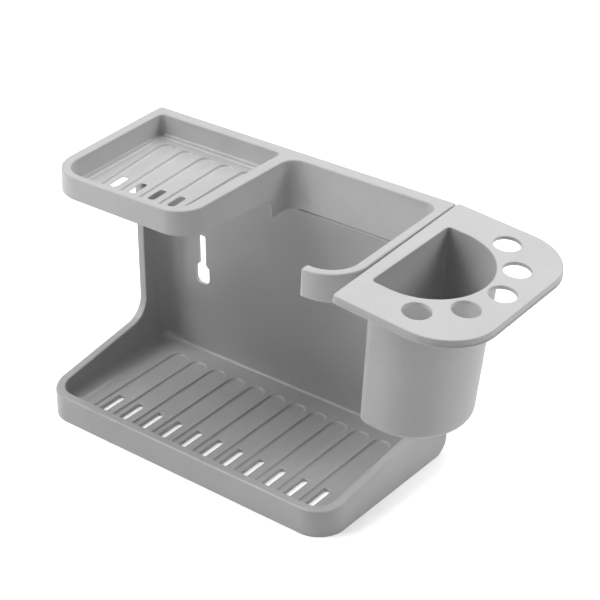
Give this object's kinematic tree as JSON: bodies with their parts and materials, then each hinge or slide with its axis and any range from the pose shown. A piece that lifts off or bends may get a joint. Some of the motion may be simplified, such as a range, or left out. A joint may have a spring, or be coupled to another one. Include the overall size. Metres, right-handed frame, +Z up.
{
  "type": "shower rack",
  "caption": "Plastic shower rack: slotted drip tray on a winged back panel, upper shelf with soap dish, open bottle space and hook arm, and a hung D-shaped cup with toothbrush holes.",
  "frame": {"origin": "on the table, under the middle of the rack's overall box, cup included", "axes": "+X to the viewer's right from the soap dish to the tool cup, +Y towards the wall, +Z up"},
  "size_m": [0.3264, 0.1324, 0.1801],
  "materials": {
    "stand_plastic": "fine satin moulded polypropylene, light warm grey",
    "upper_shelf_plastic": "fine satin moulded polypropylene, light warm grey",
    "tool_cup_plastic": "fine satin moulded polypropylene, light warm grey"
  },
  "bodies": {
    "stand": {"stand": "stand_plastic"},
    "upper_shelf": {"upper_shelf": "upper_shelf_plastic"},
    "tool_cup": {"tool_cup": "tool_cup_plastic"}
  },
  "joints": [
    {"name": "shelf_lift", "type": "slide", "parent": "stand", "child": "upper_shelf", "axis": [0, 0, 1], "range_m": [0, 0.04]},
    {"name": "cup_lift", "type": "slide", "parent": "upper_shelf", "child": "tool_cup", "axis": [0.0924, -0.0174, 0.9956], "range_m": [0, 0.02]}
  ]
}
